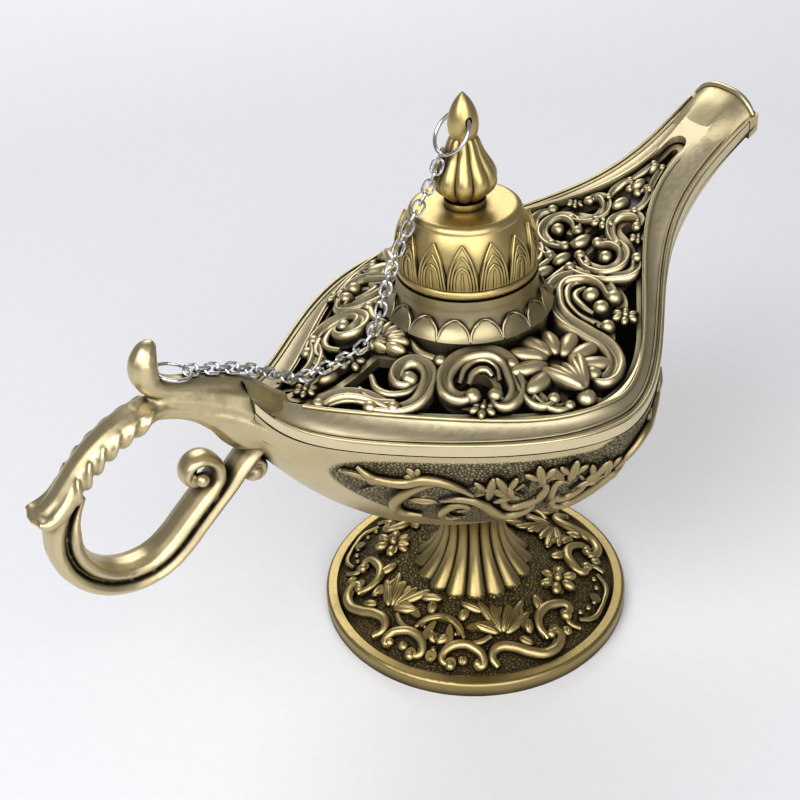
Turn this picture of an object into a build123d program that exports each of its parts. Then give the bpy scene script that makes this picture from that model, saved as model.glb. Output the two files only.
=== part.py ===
"""Genie lamp: reeded foot, boat shaped bowl, scroll handle, pierced cover and a lid on a chain."""

import os
from math import cos, exp, pi, radians, sin

from build123d import *

os.makedirs("parts", exist_ok=True)

# Lengths are millimetres. The origin is under the centre of the foot, +X runs to the spout, +Z is up.

# Foot and stem, one casting
foot_radius = 42.0
foot_edge = 4.0
foot_rim = 3.0
foot_round = 1.0
foot_ring = 4.0
foot_groove = 0.8
foot_wall = 2.0
dome_top = 10.0
stem_base_radius = 17.0
stem_neck_radius = 7.0
stem_seat_radius = 9.6
stem_seat_depth = 2.0
reed_count = 16
reed_depth = 0.13
foot_relief = 1.2
foot_scroll_width = 1.9
foot_leaf_length = 7.0
foot_leaf_width = 2.2
foot_flower_reach = 5.0
foot_flower_petals = 6

# Bowl
tail_x = -64.0
widest_x = 8.0
lip_x = 84.0
bowl_half = 51.0
tail_half = 7.5
lip_half = 11.0
tail_fullness = 1.25
spout_fullness = 3.8
rim_height = 80.2
keel_height = 36.5
keel_x = -8.0
keel_power = 2.0
hull_power = 1.7
spout_slope = 0.6
spout_start_x = 0.0
spout_straight_x = 32.0
keel_slope = 1.2
keel_straight_x = 34.0
tail_sweep_x = -46.0
tail_rise = 12.0
tail_power = 1.4
tail_depth = 13.0
cast_wall = 1.8
lip_wall = 8.0
lip_strip = 3.0
boss_height = 7.0
boss_radius = 5.5
frieze_x = -9.0
frieze_relief = 0.9
vine_width = 1.7

# Cover: frame, openwork and collar
seam_gap = 0.3
cover_tail_wall = 15.0
bead_height = 2.6
bead_step = 1.2
band_rise = 6.0
band_sag = 0.7
opening_tail_x = -54.0
opening_spout_x = 66.0
opening_half = 45.0
opening_end_half = 3.0
opening_spout_fullness = 2.3
opening_lip = 0.8
openwork_drop = 2.5
openwork_thickness = 2.6
openwork_clearance = 0.3
openwork_border = 1.6
seat_depth = 4.0
crown_height = 10.0
crown_x = -8.0
crown_edge = 0.4
crown_reach = 30.0
scroll_width = 2.7
rib_width = 1.7
petal_width = 3.4
collar_seat = 0.6
collar_height = 10.0
collar_radius = 17.4
collar_bead = 2.0
collar_sag = 1.0
skirt_radius = 20.3
skirt_edge = 1.0
skirt_petals = 16
skirt_petal_width = 7.8
skirt_petal_height = 4.2
skirt_relief = 0.7
neck_radius = 14.0

# Lid and finial
lid_radius = 17.2
lid_bead = 1.3
lid_waist = 16.2
lid_swell = 0.5
lid_height = 17.0
lid_disc_radius = 13.7
lid_disc_edge = 1.8
lid_wall = 1.8
spigot_depth = 5.0
spigot_clearance = 0.4
lotus_count = 14
lotus_height = 11.0
lotus_width = 7.0
lotus_shoulder = 0.55
lotus_fullness = 0.42
lotus_relief = 0.6
finial_foot_radius = 5.0
finial_foot_height = 1.6
finial_throat_radius = 3.7
bulb_radius = 7.3
bulb_rise = 6.6
bulb_swell = 0.8
finial_neck_radius = 2.9
finial_neck_rise = 17.0
bud_radius = 3.5
bud_rise = 21.4
finial_height = 27.8
flute_count = 10
flute_depth = 0.16

# Handle
handle_width = 9.5
handle_seat_gap = 0.3
arm_length = 21.4
arm_end_z = 98.7
arm_end_half = 3.9
arm_bend = 1.9
horn_height = 17.4
horn_radius = 3.5
horn_root_radius = 3.3
horn_lean = 14.0
leaf_thickness = 6.0
leaf_overlap = 5.4
leaf_heading = 178.0
leaf_radius = 33.0
leaf_turn = 56.0
leaf_tip_radius = 8.0
leaf_tip_turn = 46.0
leaf_tip_length = 4.0
scroll_reach = 9.4
scroll_drop = 25.9
scroll_radius = 13.6
scroll_run = 16.0
ridge_thickness = 4.4
ridge_step = 4.0
ridge_start = 133.0
ridge_turn = 178.0
outer_ridge_run = 33.0
curl_radius = 3.0
curl_eye_radius = 1.7
small_curl_x = 0.6
small_curl_drop = 20.0
small_curl_radius = 2.9

# Rings, chain and screws
ring_wire = 0.9
ring_play = 0.35
finial_ring_radius = 5.2
finial_ring_rise = 22.6
finial_ring_tilt = 52.0
horn_ring_radius = 4.2
horn_ring_reach = 2.6
horn_ring_rise = 7.9
horn_ring_tilt = 17.0
link_wire = 0.7
link_length = 4.4
link_width = 3.2
link_pitch = 2.6
link_slack = 1.2
link_sides = 6
link_roll = 45.0
chain_side = 3.1
chain_hang = 6.8
chain_deck = ((-33.0, 6.0), (-40.0, 5.2), (-48.0, 4.6), (-54.0, 4.5), (-60.0, 3.8), (-66.0, 3.0))
screw_diameter = 4.0
screw_head_radius = 4.0
screw_head_height = 2.4
screw_clearance = 0.3
thread_clearance = 0.2
thread_end = 1.0
lid_screw_diameter = 3.0
lid_screw_head_radius = 2.8
lid_screw_head_height = 2.0
lid_screw_reach = 7.0

# Stations along the lamp where the hull is drawn
station_count = 10
hull_steps = 4


def rise(x, start, straight, slope):
    """Height gained by a line that leaves the level at start and is straight from there on."""
    run = max(0.0, min(x, straight) - start)
    return slope * run**2 / (2 * (straight - start)) + slope * max(0.0, x - straight)


def plan_half(x, tail, spout, half, ends, spout_power):
    """Half width of a pointed oval that is widest at widest_x."""
    if x < widest_x:
        share = sin(pi / 2 * max(0.0, x - tail) / (widest_x - tail)) ** tail_fullness
        return ends[0] + (half - ends[0]) * share
    share = cos(pi / 2 * min(1.0, (x - widest_x) / (spout - widest_x))) ** spout_power
    return ends[1] + (half - ends[1]) * share


def rim_half(x):
    """Half width of the bowl's rim."""
    return plan_half(x, tail_x, lip_x, bowl_half, (tail_half, lip_half), spout_fullness)


def rim_z(x):
    """Height of the bowl's rim, swept up at the tail and along the spout."""
    sweep = max(0.0, (tail_sweep_x - max(x, tail_x)) / (tail_sweep_x - tail_x))
    return rim_height + tail_rise * sweep**tail_power + rise(x, spout_start_x, spout_straight_x, spout_slope)


def keel_z(x):
    """Height of the bowl's underside on the middle plane."""
    tail_keel = rim_z(tail_x) - tail_depth
    sweep = max(0.0, (keel_x - x) / (keel_x - tail_x))
    climb = rise(x, keel_x, keel_straight_x, keel_slope)
    return keel_height + (tail_keel - keel_height) * sweep**keel_power + climb


def opening_at(x):
    """Half width of the teardrop opening in the cover."""
    ends = (opening_end_half, opening_end_half)
    return plan_half(x, opening_tail_x, opening_spout_x, opening_half, ends, opening_spout_fullness)


def band_top(x):
    """Height of the cover's inner edge."""
    return rim_z(x) + band_rise


def crown_at(x):
    """How far the openwork bulges up around the collar."""
    return crown_edge + crown_height * exp(-(((x - crown_x) / crown_reach) ** 2))


def stations(first, last):
    """Evenly spread places along the lamp."""
    return [first + (last - first) * i / station_count for i in range(station_count + 1)]


# Heights that follow from the sizes, each piece standing on the one below it
stem_top = keel_z(0) - stem_seat_depth
collar_base = band_top(0) - openwork_drop + crown_at(0) + collar_seat
collar_top = collar_base + collar_height
lid_top = collar_top + lid_height
bulb_height = lid_top + bulb_rise
finial_neck_height = lid_top + finial_neck_rise
bud_height = lid_top + bud_rise
finial_top = lid_top + finial_height
finial_ring_z = lid_top + finial_ring_rise
arm_end_x = tail_x - arm_length
horn_ring_x = arm_end_x + horn_ring_reach
horn_ring_z = arm_end_z + horn_ring_rise


def opening_face(inset):
    """The teardrop opening in plan, made smaller by inset, with round ends."""
    places = stations(opening_tail_x, opening_spout_x)
    tip = opening_end_half - inset
    with BuildSketch() as outline:
        with BuildLine():
            near = Spline(*[(x, inset - opening_at(x)) for x in places])
            far = Spline(*[(x, opening_at(x) - inset) for x in places])
            ThreePointArc(near @ 0, (opening_tail_x - tip, 0), far @ 0)
            ThreePointArc(near @ 1, (opening_spout_x + tip, 0), far @ 1)
        make_face()
    return outline.sketch


def lobed_section(height, radius, count, depth):
    """A round section whose outline is a ring of outward lobes."""
    step = 360 / count
    valley = radius * (1 - depth / 2)
    crest = radius * (1 + depth / 2)
    with BuildSketch(Plane.XY.offset(height)) as section:
        with BuildLine():
            for i in range(count):
                start = Vector(valley, 0).rotate(Axis.Z, i * step)
                middle = Vector(crest, 0).rotate(Axis.Z, (i + 0.5) * step)
                end = Vector(valley, 0).rotate(Axis.Z, (i + 1) * step)
                ThreePointArc(start, middle, end)
        make_face()
    return section.sketch.face()


def petal_ring(side, inner, outline, count):
    """Ring of petals of one outline, standing out from a turned side, with a hole through it."""
    with BuildPart() as ring:
        with BuildSketch(Plane.XZ):
            with BuildLine():
                arc = ThreePointArc(*side)
                Polyline(arc @ 1, (inner, side[2][1]), (inner, side[0][1]), arc @ 0)
            make_face()
        revolve(axis=Axis.Z)
        with BuildPart(mode=Mode.INTERSECT):
            for i in range(count):
                with BuildSketch(Plane.YZ.rotated((0, 0, 360 / count * i))):
                    add(outline)
                extrude(amount=foot_radius)
    return ring.part


# Ornament of the foot: scrolls, balls and leaves of one eighth, as radius and angle from the fan's middle
foot_fans = (-145.0, 35.0)
foot_scrolls = [
    [(35, 5), (32.4, 6), (30.5, 13), (31.4, 19), (34, 23)],
    [(36.5, 29), (33.8, 27), (31.8, 31), (32.2, 37), (34.7, 44), (36.4, 51), (35, 58)],
    [(33, 54), (29.2, 55), (26.4, 62), (27.3, 72), (30.3, 76)],
    [(28.5, 12), (25.6, 9), (24, 0)],
]
foot_balls = [(36, 9), (36, 21), (32.6, 60), (31.2, 71), (35, 0), (35, 90)]
foot_leaves = [(25.5, 22, 100), (23.5, 33, 140), (24.5, 43, 165), (27, 47, 200), (29.4, 6, 190)]
foot_ball_radius = 1.5
foot_flower_radius = 24.5


def polar(radius, angle):
    """A place on the foot in plan."""
    return Vector(radius, 0).rotate(Axis.Z, angle)


# Foot: a domed disc on a plain ring, cast with a reeded stem that flares to the bowl
ground = (foot_radius - foot_rim - foot_groove, foot_edge - foot_groove)
dome_swell = 1.0
dome_middle = ((ground[0] + stem_base_radius) / 2, (ground[1] + dome_top) / 2 + dome_swell)
with BuildPart() as ornament:
    with BuildSketch():
        for fan in foot_fans:
            for way in (1, -1):
                for points in foot_scrolls:
                    with BuildLine() as path:
                        Spline(*[polar(radius, fan + way * angle) for radius, angle in points])
                    trace(path.line, line_width=foot_scroll_width)
                for radius, angle in foot_balls:
                    with Locations(polar(radius, fan + way * angle)):
                        Circle(foot_ball_radius)
                for radius, angle, heading in foot_leaves:
                    with Locations(Location(polar(radius, fan + way * angle), (0, 0, fan + way * (angle + heading)))):
                        Ellipse(foot_leaf_length / 2, foot_leaf_width / 2)
            with Locations(polar(foot_flower_radius, fan + 90)):
                Circle(foot_ball_radius)
                with PolarLocations(foot_flower_reach / 2, foot_flower_petals):
                    Ellipse(foot_flower_reach / 2, foot_leaf_width / 2)
    extrude(amount=dome_top * 2)
    with BuildPart(mode=Mode.INTERSECT):
        with BuildSketch(Plane.XZ):
            with BuildLine():
                raised = ThreePointArc(
                    (ground[0], ground[1] + foot_relief),
                    (dome_middle[0], dome_middle[1] + foot_relief),
                    (stem_base_radius, dome_top + foot_relief),
                )
                Polyline(raised @ 1, (stem_base_radius, dome_top - foot_wall / 2), (ground[0], ground[1] - foot_groove),
                         raised @ 0)
            make_face()
        revolve(axis=Axis.Z)

with BuildPart() as foot:
    with BuildSketch(Plane.XZ):
        with BuildLine():
            hollow = (foot_radius - foot_ring - foot_wall, foot_edge - foot_groove - foot_wall)
            side = (foot_radius, foot_edge - foot_round)
            crest = (foot_radius - foot_round, foot_edge)
            Polyline((foot_radius - foot_ring, 0), (foot_radius, 0), side)
            RadiusArc(side, crest, -foot_round)
            Polyline(crest, (foot_radius - foot_rim, foot_edge), ground)
            ThreePointArc(ground, dome_middle, (stem_base_radius, dome_top))
            Line((stem_base_radius, dome_top), (0, dome_top))
            Line((0, dome_top), (0, dome_top - foot_wall))
            Line((0, dome_top - foot_wall), (stem_base_radius, dome_top - foot_wall))
            Line((stem_base_radius, dome_top - foot_wall), hollow)
            Line(hollow, (foot_radius - foot_ring, 0))
        make_face()
    revolve(axis=Axis.Z)
    stem_sections = []
    for share in (0, 0.25, 0.5, 0.75, 1):
        flare = (stem_base_radius - stem_neck_radius) * (1 - share) ** 3
        seat = (stem_seat_radius - stem_neck_radius) * share**4
        height = dome_top - foot_wall / 2 + (stem_top - dome_top + foot_wall / 2) * share
        radius = stem_neck_radius + flare + seat
        stem_sections.append(lobed_section(height, radius, reed_count, reed_depth))
    loft(stem_sections)
    add(ornament.part)
    with Locations((0, 0, dome_top - foot_wall)):
        Cylinder(
            screw_diameter / 2 + screw_clearance,
            stem_top,
            align=(Align.CENTER, Align.CENTER, Align.MIN),
            mode=Mode.SUBTRACT,
        )
foot.part.label = "foot"
export_step(foot.part, "parts/foot.step")


# Bowl: boat shaped sections along a swept keel, hollow, with a lip and a boss for the foot's screw
def hull_section(x, inset, headroom):
    """Boat shaped section of the bowl, closed by a flat top."""
    half = rim_half(x) - inset
    top = rim_z(x)
    depth = top - keel_z(x) - inset
    side = []
    for i in range(hull_steps + 1):
        angle = pi / 2 * i / hull_steps
        side.append((half * cos(angle) ** (2 / hull_power), top - depth * sin(angle) ** (2 / hull_power)))
    with BuildSketch(Plane.YZ.offset(x)) as section:
        with BuildLine():
            lower = Spline(*[(-y, z) for y, z in side], *side[-2::-1])
            if headroom:
                Polyline(lower @ 1, (half, top + headroom), (-half, top + headroom), lower @ 0)
            else:
                Line(lower @ 1, lower @ 0)
        make_face()
    return section.sketch.face()


def cover_section(x, below):
    """Outer section of the cover: bead, step and a hollow band up to the opening."""
    half = rim_half(x)
    foot_z = rim_z(x) + seam_gap
    edge = opening_at(x) + opening_lip
    top = band_top(x)
    step = (half - bead_step, foot_z + bead_height)
    middle = ((step[0] + edge) / 2, (step[1] + top) / 2 - band_sag)
    with BuildSketch(Plane.YZ.offset(x)) as section:
        with BuildLine():
            Line((-half, foot_z - below), (half, foot_z - below))
            Line((half, foot_z - below), (half, foot_z + bead_height))
            Line((half, foot_z + bead_height), step)
            ThreePointArc(step, middle, (edge, top))
            Line((edge, top), (-edge, top))
            ThreePointArc((-edge, top), (-middle[0], middle[1]), (-step[0], step[1]))
            Line((-step[0], step[1]), (-half, foot_z + bead_height))
            Line((-half, foot_z + bead_height), (-half, foot_z - below))
        make_face()
    return section.sketch.face()


def cavity_section(x):
    """Inner section of the cover, open below and one wall inside the band."""
    half = rim_half(x) - cast_wall
    edge = opening_at(x) + opening_lip / 2
    with BuildSketch(Plane.YZ.offset(x)) as section:
        with BuildLine():
            Polyline(
                (-half, rim_z(x) - cast_wall),
                (half, rim_z(x) - cast_wall),
                (half, rim_z(x) + cast_wall),
                (edge, band_top(x) - cast_wall),
                (-edge, band_top(x) - cast_wall),
                (-half, rim_z(x) + cast_wall),
                close=True,
            )
        make_face()
    return section.sketch.face()


# Vines of the bowl: each a smooth line, as a distance from the frieze's middle and a depth under the rim
vines = [
    [(40, 6), (34, 7), (29, 8), (25, 6.5), (20, 8.5), (16, 12)],
    [(23, 7.5), (26, 9), (28.5, 12.5), (29, 17), (27, 20.5), (23, 22)],
    [(15, 23), (18.5, 22), (19.5, 18.5), (17, 17)],
    [(21, 15), (17, 13.5), (14, 15), (11, 18.5), (7, 22), (3, 20.5), (2.2, 15)],
]
vine_leaves = [(11, 9, 60), (14, 10.5, 20), (4, 8, 100), (8, 13, 40), (33, 11, 150)]
vine_leaf_length = 6.5
vine_leaf_width = 2.6

with BuildPart() as frieze:
    with BuildSketch(Plane.XZ):
        for way in (1, -1):
            for points in vines:
                places = [(frieze_x + way * run, drop) for run, drop in points]
                with BuildLine() as path:
                    Spline(*[(x, rim_z(x) - drop) for x, drop in places])
                trace(path.line, line_width=vine_width)
            for run, drop, lean in vine_leaves:
                x = frieze_x + way * run
                with Locations(Location((x, rim_z(x) - drop, 0), (0, 0, 90 - way * (90 - lean)))):
                    Ellipse(vine_leaf_length / 2, vine_leaf_width / 2)
    extrude(amount=bowl_half * 2, both=True)
    loft([hull_section(x, -frieze_relief, 0) for x in stations(tail_x, lip_x)], mode=Mode.INTERSECT)

with BuildPart() as bowl:
    loft([hull_section(x, 0, 0) for x in stations(tail_x, lip_x)])
    add(frieze.part)
    with Locations((0, 0, stem_top)):
        Cylinder(
            stem_seat_radius,
            keel_z(stem_seat_radius) + cast_wall - stem_top,
            align=(Align.CENTER, Align.CENTER, Align.MIN),
        )
    inside = stations(tail_x + lip_wall, lip_x - lip_wall)
    loft([hull_section(x, cast_wall, band_rise) for x in inside], mode=Mode.SUBTRACT)
    loft([cover_section(x, seam_gap + cast_wall) for x in (lip_x - lip_strip + seam_gap, lip_x)])
    with Locations((0, 0, keel_height + cast_wall / 2)):
        Cylinder(boss_radius, boss_height, align=(Align.CENTER, Align.CENTER, Align.MIN))
    with Locations((0, 0, stem_top)):
        Cylinder(
            screw_diameter / 2 + thread_clearance,
            keel_height + boss_height - stem_top,
            align=(Align.CENTER, Align.CENTER, Align.MIN),
            mode=Mode.SUBTRACT,
        )
bowl.part.label = "bowl"
export_step(bowl.part, "parts/bowl.step")

# Cover frame: the band around the teardrop opening, hollow below
with BuildPart() as cover_frame:
    loft([cover_section(x, 0) for x in stations(tail_x + seam_gap, lip_x - lip_strip)])
    hollow_run = stations(tail_x + cover_tail_wall, lip_x - lip_wall)
    loft([cavity_section(x) for x in hollow_run], mode=Mode.SUBTRACT)
    with BuildSketch(Plane.XY.offset(keel_height)):
        add(opening_face(0))
    extrude(amount=finial_top, mode=Mode.SUBTRACT)
cover_frame.part.label = "cover_frame"
export_step(cover_frame.part, "parts/cover_frame.step")


# Openwork: scrolls, shells and ribs drawn in plan and cut from a thin domed plate with a flat seat
def openwork_section(x):
    """Thin arched strip that is wider than the opening and bulges up around the collar."""
    half = opening_at(x) + openwork_thickness
    edge = band_top(x) - openwork_drop
    low = edge - openwork_thickness
    with BuildSketch(Plane.YZ.offset(x)) as section:
        with BuildLine():
            ThreePointArc((-half, edge), (0, edge + crown_at(x)), (half, edge))
            Line((half, edge), (half, low))
            ThreePointArc((half, low), (0, low + crown_at(x)), (-half, low))
            Line((-half, low), (-half, edge))
        make_face()
    return section.sketch.face()


# Scrolls of the near half, each a smooth line through its turning points
scrolls = [
    [(-15, -31), (-20, -28), (-22, -22), (-14, -18), (-6, -22), (-8, -29), (-12, -34), (-18, -33)],
    [(29, -24), (31, -15), (27, -8), (20, -9), (16, -17), (17, -25), (18, -33), (14, -38), (8, -38)],
    [(-40, -14), (-32, -19), (-25, -19), (-21, -14), (-24, -10), (-28, -11), (-29, -15)],
    [(-50, -5), (-43, -5), (-38, -10), (-33, -19)],
    [(25, -8), (29, -12), (33, -17), (39, -15), (41, -9), (37, -6)],
    [(38, -15), (42, -9), (44, -4), (48, -5), (49, -10)],
    [(44, -3), (50, -5), (55, -6), (58, -3), (56, 0)],
    [(-7, -26), (-6, -35), (-9, -43)],
]
ribs = [
    [(-22, -22), (-17, -21), (-13, -23), (-13, -30)],
    [(29, -12), (23, -14), (21, -20), (22, -28), (18, -31)],
    [(-40, -4), (-37, -12), (-32, -18)],
    [(-20, 0), (-34, -3), (-44, -3), (-53, 0)],
    [(19, -4), (30, -3), (40, -3), (46, -3)],
    [(-3, -42), (4, -36), (10, -40)],
]
shell_x = 4.0
shell_y = -31.0
shell_reach = 10.5
shell_petals = 8
shell_first = -20.0
shell_spread = 220.0
tail_shell_x = -28.0
tail_shell_reach = 11.0
tail_shell_petals = 5
tail_shell_spread = 120.0

with BuildPart() as openwork:
    with BuildSketch(Plane.XY.offset(keel_height)):
        add(opening_face(openwork_clearance))
        add(opening_face(openwork_clearance + openwork_border), mode=Mode.SUBTRACT)
        for points in scrolls:
            with BuildLine() as path:
                Spline(*points)
            trace(path.line, line_width=scroll_width)
        for points in ribs:
            with BuildLine() as path:
                Spline(*points)
            trace(path.line, line_width=rib_width)
        with Locations((shell_x, shell_y)):
            Circle(shell_reach / 2)
            with PolarLocations(
                shell_reach * 0.75, shell_petals, start_angle=shell_first, angular_range=shell_spread
            ):
                SlotOverall(shell_reach * 0.65, petal_width)
        with Locations((shell_x, -opening_at(shell_x))):
            Circle(shell_reach / 3)
        mirror(about=Plane.XZ)
        with Locations((tail_shell_x, 0)):
            with PolarLocations(
                tail_shell_reach * 0.5,
                tail_shell_petals,
                start_angle=-tail_shell_spread / 2,
                angular_range=tail_shell_spread,
            ):
                SlotOverall(tail_shell_reach, petal_width)
        add(opening_face(openwork_clearance), mode=Mode.INTERSECT)
        Circle(skirt_radius)
        Circle(neck_radius, mode=Mode.SUBTRACT)
    extrude(amount=finial_top)
    plate = stations(opening_tail_x - opening_end_half, opening_spout_x + opening_end_half)
    loft([openwork_section(x) for x in plate], mode=Mode.INTERSECT)
    with BuildSketch(Plane.XY.offset(collar_base)):
        Circle(skirt_radius)
        Circle(neck_radius, mode=Mode.SUBTRACT)
    extrude(amount=-seat_depth)
openwork.part.label = "openwork"
export_step(openwork.part, "parts/openwork.step")

# Collar: a short tube that flares to a skirt, with a ring of round petals leaning on its foot
def collar_side(grow):
    """Hollow side of the collar from its skirt up to its plain top, grown outward."""
    start = (skirt_radius + grow, collar_base + skirt_edge)
    end = (collar_radius + grow, collar_top - collar_bead)
    middle = ((start[0] + end[0]) / 2 - collar_sag, (start[1] + end[1]) / 2)
    return start, middle, end


with BuildSketch() as skirt_petal:
    with Locations((0, collar_base + skirt_edge)):
        Ellipse(skirt_petal_width / 2, skirt_petal_height)
with BuildPart() as collar:
    with BuildSketch(Plane.XZ):
        with BuildLine():
            flare = ThreePointArc(*collar_side(0))
            Polyline(
                flare @ 1,
                (collar_radius, collar_top),
                (neck_radius, collar_top),
                (neck_radius, collar_base),
                (skirt_radius, collar_base),
                flare @ 0,
            )
        make_face()
    revolve(axis=Axis.Z)
    add(petal_ring(collar_side(skirt_relief), neck_radius, skirt_petal.sketch, skirt_petals))
collar.part.label = "collar"
export_step(collar.part, "parts/collar.step")


# Lid: a hollow drum with a spigot that drops into the collar and a ring of lotus petals
def lid_side(grow):
    """Side of the drum from its bead to its top disc, grown outward."""
    start = (lid_waist + grow, collar_top + 2 * lid_bead)
    end = (lid_disc_radius + grow, lid_top - lid_disc_edge)
    middle = ((start[0] * 3 + end[0]) / 4 + lid_swell, (start[1] + end[1]) / 2)
    return start, middle, end


spigot_radius = neck_radius - spigot_clearance
lid_bore = spigot_radius - lid_wall
lid_ceiling = lid_top - lid_wall
lotus_base = collar_top + 2 * lid_bead
with BuildSketch() as lotus_petal:
    with BuildLine():
        lotus_tip = (0, lotus_base + lotus_height)
        shoulder = lotus_base + lotus_height * lotus_shoulder
        Line((-lotus_width / 2, lotus_base), (lotus_width / 2, lotus_base))
        ThreePointArc((lotus_width / 2, lotus_base), (lotus_width * lotus_fullness, shoulder), lotus_tip)
        ThreePointArc(lotus_tip, (-lotus_width * lotus_fullness, shoulder), (-lotus_width / 2, lotus_base))
    make_face()
with BuildPart() as lid:
    with BuildSketch(Plane.XZ):
        with BuildLine():
            seat_edge = (lid_radius - lid_bead / 2, collar_top)
            bead_mid = (lid_radius, collar_top + lid_bead)
            side_points = lid_side(0)
            disc_edge = (lid_disc_radius - lid_disc_edge, lid_top)
            hole = lid_screw_diameter / 2 + screw_clearance
            Polyline(
                (lid_bore, collar_top - spigot_depth),
                (spigot_radius, collar_top - spigot_depth),
                (spigot_radius, collar_top),
                seat_edge,
            )
            ThreePointArc(seat_edge, bead_mid, side_points[0])
            ThreePointArc(*side_points)
            RadiusArc(side_points[2], disc_edge, -lid_disc_edge)
            Polyline(
                disc_edge,
                (hole, lid_top),
                (hole, lid_ceiling),
                (lid_disc_radius - lid_wall, lid_ceiling),
                (lid_bore, lid_ceiling - lid_wall),
                (lid_bore, collar_top - spigot_depth),
            )
        make_face()
    revolve(axis=Axis.Z)
    add(petal_ring(lid_side(lotus_relief), lid_bore + lid_wall / 2, lotus_petal.sketch, lotus_count))
lid.part.label = "lid"
export_step(lid.part, "parts/lid.step")


# Finial: a fluted bulb that draws in to a neck below a bud, drilled across for its ring
def ring_place(anchor, radius, tilt):
    """Plane of a ring that hangs from anchor and points down by tilt, and that direction."""
    away = Vector(cos(radians(tilt)) * anchor[2], 0, -sin(radians(tilt)))
    centre = Vector(anchor[0], 0, anchor[1]) + away * radius
    return Plane(origin=centre, x_dir=away, z_dir=away.cross(Vector(0, 1, 0))), away


finial_hole = (0.0, finial_ring_z, -1.0)
finial_ring_plane, finial_ring_way = ring_place(finial_hole, finial_ring_radius, finial_ring_tilt)
bulb_foot = lid_top + finial_foot_height
bulb_middle = (bulb_foot + bulb_height) / 2
neck_run = finial_neck_height - bulb_height
finial_sections = (
    (bulb_foot, finial_throat_radius),
    (bulb_middle, (finial_throat_radius + bulb_radius) / 2 + bulb_swell),
    (bulb_height, bulb_radius),
    (bulb_height + neck_run * 0.4, bulb_radius * 0.8),
    (bulb_height + neck_run * 0.75, finial_neck_radius * 1.4),
    (finial_neck_height, finial_neck_radius),
)
with BuildPart() as finial:
    with BuildSketch(Plane.XY.offset(lid_top)):
        Circle(finial_foot_radius)
    extrude(amount=finial_foot_height)
    loft([lobed_section(height, radius, flute_count, flute_depth) for height, radius in finial_sections])
    with BuildSketch(Plane.XZ):
        with BuildLine():
            root = finial_neck_height - finial_neck_radius / 2
            bud = Spline(
                (finial_neck_radius * 0.8, root),
                (bud_radius, bud_height),
                (bud_radius * 0.7, (bud_height + finial_top) / 2),
                (0, finial_top),
            )
            Polyline(bud @ 1, (0, root), bud @ 0)
        make_face()
    revolve(axis=Axis.Z)
    with Locations((0, 0, lid_top)):
        Cylinder(
            lid_screw_diameter / 2 + thread_clearance,
            lid_screw_reach + screw_clearance,
            align=(Align.CENTER, Align.CENTER, Align.MIN),
            mode=Mode.SUBTRACT,
        )
    with Locations(finial_ring_plane):
        Torus(finial_ring_radius, ring_wire / 2 + ring_play, mode=Mode.SUBTRACT)
finial.part.label = "finial"
export_step(finial.part, "parts/finial.step")

# Handle: an arm off the tail, an upturned horn, a leaf shaped strap and a two ridged scroll to the bowl
horn_hole = (horn_ring_x, horn_ring_z, 1.0)
horn_ring_plane, horn_ring_way = ring_place(horn_hole, horn_ring_radius, horn_ring_tilt)


def arm_section(share, start, end, bend):
    """Oval section of a lobe of the arm, eased from the bowl's tail to its end: height, half and width."""
    ease = (1 - share) ** bend
    middle, half, width = [last + (first - last) * ease for first, last in zip(start, end)]
    with BuildSketch(Plane.YZ.offset(tail_x - arm_length * share)) as section:
        with Locations((0, middle)):
            Ellipse(width, half)
    return section.sketch.face()


def across(path, share):
    """Plane square to a path in the middle plane, its X axis across the lamp."""
    return Plane(origin=path @ share, x_dir=(0, 1, 0), z_dir=path % share)


tail_top = band_top(tail_x)
tail_low = keel_z(tail_x)
arm_start = ((tail_top + tail_low) / 2, (tail_top - tail_low) / 2, tail_half)
arm_end = (arm_end_z, arm_end_half, arm_end_half)
scroll_centre = (arm_end_x - scroll_reach, arm_end_z - scroll_drop)
curl_centre = Vector(scroll_radius - curl_radius, scroll_run).rotate(Axis.Z, ridge_start + ridge_turn)
curls = (
    (scroll_centre[0] + curl_centre.X, scroll_centre[1] + curl_centre.Y, curl_radius + ridge_thickness / 2),
    (tail_x + small_curl_x, rim_z(tail_x) - small_curl_drop, small_curl_radius),
)
with BuildPart() as horn:
    with BuildSketch(Plane.XZ):
        with BuildLine():
            thumb = Spline(
                (horn_root_radius, 0), (horn_radius, horn_height / 2), (0, horn_height), tangents=((0, 1), (-1, 0))
            )
            Polyline(thumb @ 1, (0, 0), thumb @ 0)
        make_face()
    revolve(axis=Axis.Z)

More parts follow.
